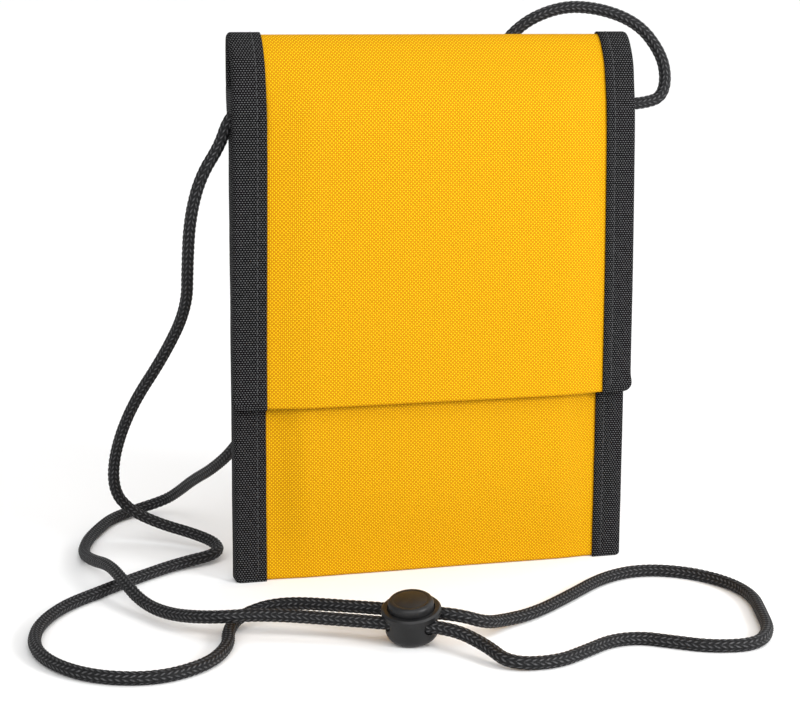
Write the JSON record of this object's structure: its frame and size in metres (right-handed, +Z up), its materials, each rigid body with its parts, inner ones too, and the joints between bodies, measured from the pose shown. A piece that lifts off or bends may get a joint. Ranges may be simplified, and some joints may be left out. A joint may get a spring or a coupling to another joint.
{
  "type": "neck pouch wallet",
  "caption": "Flat fabric neck pouch with a fold-over flap, taped side seams, a long round neck cord and a push-button cord lock.",
  "frame": {"origin": "on the floor under the middle of the standing pouch", "axes": "+Z up along the pouch, -Y towards the flap side, +X to the right in the front view"},
  "size_m": [0.249, 0.2131, 0.2011],
  "materials": {
    "outer_fabric": "coated basket weave, yellow",
    "lining_fabric": "thin plain weave, black",
    "binding_tape": "woven tape, black",
    "touch_fastener": "hook and loop pile, black",
    "stitch_thread": "polyester thread, black",
    "cord_braid": "round braid, black",
    "lock_plastic": "fine matt moulding, charcoal",
    "spring_steel": "plain wire"
  },
  "bodies": {
    "pouch": {"front_panel": "outer_fabric", "back_panel": "outer_fabric", "front_lining": "lining_fabric", "back_lining": "lining_fabric", "pocket_divider": "lining_fabric", "card_pocket": "lining_fabric", "body_binding_left": "binding_tape", "body_binding_right": "binding_tape", "mouth_binding": "binding_tape", "loop_strip": "touch_fastener", "cord_tack_left": "stitch_thread", "cord_tack_right": "stitch_thread", "flap_fold": "outer_fabric", "fold_binding_left": "binding_tape", "fold_binding_right": "binding_tape", "neck_cord": "cord_braid"},
    "flap": {"flap_panel": "outer_fabric", "flap_lining": "lining_fabric", "flap_binding_left": "binding_tape", "flap_binding_right": "binding_tape", "hook_strip": "touch_fastener"},
    "cord_lock": {"lock_barrel": "lock_plastic", "lock_spring": "spring_steel"},
    "lock_button": {"lock_plunger": "lock_plastic"}
  },
  "joints": [
    {"name": "flap_hinge", "type": "hinge", "parent": "pouch", "child": "flap", "pos_m": [0, 0.0008, 0.192], "axis": [-1, 0, 0], "range_deg": [0, 180], "deforming": ["flap_fold", "fold_binding_left", "fold_binding_right"]},
    {"name": "lock_slide", "type": "slide", "parent": "pouch", "child": "cord_lock", "axis": [-0.8746, 0.4848, 0], "range_m": [0, 0.011]},
    {"name": "button_press", "type": "slide", "parent": "cord_lock", "child": "lock_button", "axis": [0.1173, 0.2116, -0.9703], "range_m": [0, 0.0016], "stiffness_N_per_m": 300, "springref_m": -0.001, "deforming": ["lock_spring"]}
  ]
}
